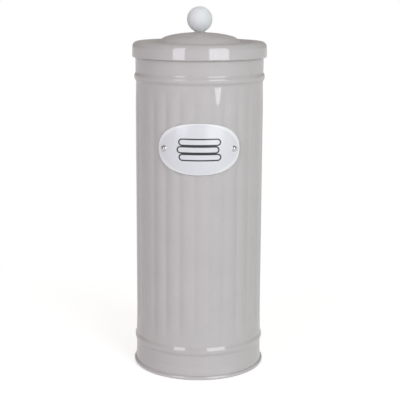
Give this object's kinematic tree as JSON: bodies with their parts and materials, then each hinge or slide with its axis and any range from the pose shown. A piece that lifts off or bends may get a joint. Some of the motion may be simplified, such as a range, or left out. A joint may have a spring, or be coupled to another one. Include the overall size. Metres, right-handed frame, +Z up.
{
  "type": "cotton pad holder",
  "caption": "Tall round sheet-metal canister for cotton pads: ribbed wall with beads and a flared foot, oval front plate, and a lift-off domed lid with a ball knob.",
  "frame": {"origin": "on the axis of the round canister, in the plane that its foot stands on", "axes": "+Z up along the canister's axis, front with the oval plate towards -Y, +X to the right seen from the front"},
  "size_m": [0.0796, 0.0802, 0.2162],
  "materials": {
    "grey_enamel": "glossy warm light grey stove enamel on sheet steel",
    "white_enamel": "glossy white enamel",
    "ball_white": "satin white thermoset plastic",
    "rivet_steel": "polished nickel-plated steel",
    "bush_brass": "turned brass",
    "fastener_steel": "bright zinc-plated steel"
  },
  "bodies": {
    "canister": {"canister_wall": "grey_enamel", "base_plate": "grey_enamel", "label_plate": "white_enamel", "label_rivet_left": "rivet_steel", "label_rivet_right": "rivet_steel"},
    "lid": {"lid_shell": "grey_enamel", "knob_ball": "ball_white", "knob_insert": "bush_brass", "knob_washer": "fastener_steel", "knob_screw": "fastener_steel"}
  },
  "joints": [
    {"name": "lid_lift", "type": "slide", "parent": "canister", "child": "lid", "axis": [0, 0, 1], "range_m": [0, 0.12]}
  ]
}
